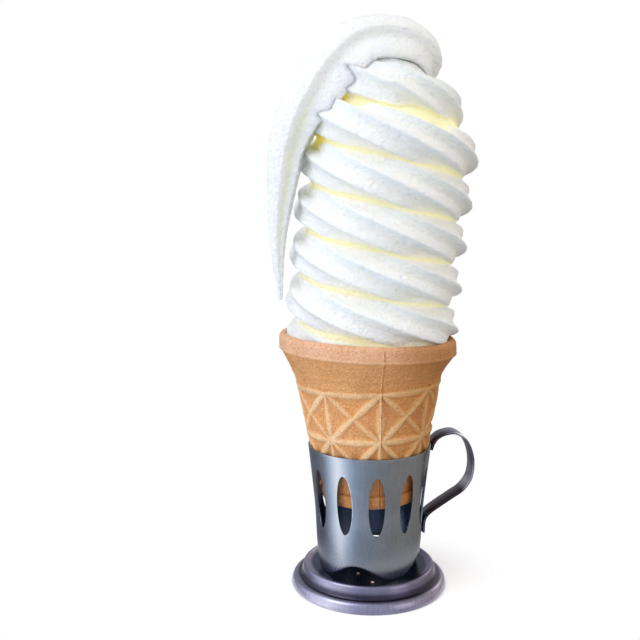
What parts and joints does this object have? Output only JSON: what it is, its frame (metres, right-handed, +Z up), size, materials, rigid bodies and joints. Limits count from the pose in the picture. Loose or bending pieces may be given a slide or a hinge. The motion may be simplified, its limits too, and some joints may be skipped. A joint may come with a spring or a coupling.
{
  "type": "soft serve cone",
  "caption": "Tall soft serve swirl with a drawn-out tail in a moulded wafer cone, standing upright in a slotted steel holder with a strip handle.",
  "frame": {"origin": "middle of the footprint box, on the table under the holder", "axes": "+Z up, +X to the handle's side, -Y to the viewer of the picture"},
  "size_m": [0.0902, 0.0762, 0.245],
  "materials": {
    "soft_serve": "matt frozen foam, cool white with pale yellow in the folds",
    "wafer_cone": "matt baked wafer, golden brown, finely pitted",
    "holder_cup": "dull brushed stainless steel",
    "holder_base": "pressed stainless steel, brushed brim",
    "holder_handle": "bent stainless strip, worn satin"
  },
  "bodies": {
    "root": {"soft_serve": "soft_serve", "wafer_cone": "wafer_cone", "holder_cup": "holder_cup", "holder_base": "holder_base", "holder_handle": "holder_handle"}
  },
  "joints": []
}
